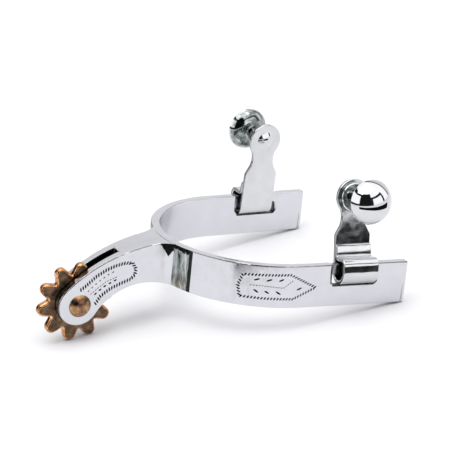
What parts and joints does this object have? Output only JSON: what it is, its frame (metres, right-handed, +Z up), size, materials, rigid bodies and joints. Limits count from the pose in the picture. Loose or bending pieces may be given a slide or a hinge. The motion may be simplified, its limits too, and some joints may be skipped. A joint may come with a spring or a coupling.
{
  "type": "western rowel spur",
  "caption": "Western rowel spur: U-shaped heel band, curved forked shank with a free-turning star rowel, and two hinged button hangers for a spur strap.",
  "frame": {"origin": "on the surface the spur stands on, under the middle of its bounding box", "axes": "+X from the heel towards the open ends of the arms, +Y to the wearer's left, +Z up"},
  "size_m": [0.1296, 0.1072, 0.052],
  "materials": {
    "band_steel": "bright chrome plate over polished steel",
    "hanger_steel": "bright chrome plate over stamped strip",
    "button_steel": "bright chrome plate over turned steel",
    "rowel_bronze": "antique copper, darkened in the hollows and bright on the edges",
    "rivet_bronze": "antique brass, burnished dome"
  },
  "bodies": {
    "spur_frame": {"heel_band": "band_steel", "shank": "band_steel", "rowel_pin": "rivet_bronze"},
    "rowel_wheel": {"rowel": "rowel_bronze"},
    "left_hanger_set": {"left_hanger": "hanger_steel", "left_collar": "button_steel", "left_button": "button_steel"},
    "right_hanger_set": {"right_hanger": "hanger_steel", "right_collar": "button_steel", "right_button": "button_steel"}
  },
  "joints": [
    {"name": "rowel_spin", "type": "hinge", "parent": "spur_frame", "child": "rowel_wheel", "pos_m": [-0.05007, -0.0016, 0.01414], "axis": [0, 1, 0], "continuous": true},
    {"name": "left_hanger_swing", "type": "hinge", "parent": "spur_frame", "child": "left_hanger_set", "pos_m": [0.0423, 0.03851, 0.01796], "axis": [0.9798, 0.0529, -0.1927], "range_deg": [-88.2, 106.8]},
    {"name": "right_hanger_swing", "type": "hinge", "parent": "spur_frame", "child": "right_hanger_set", "pos_m": [0.04407, -0.04181, 0.01761], "axis": [-0.9798, 0.0529, 0.1927], "range_deg": [-95.5, 99.5]}
  ]
}
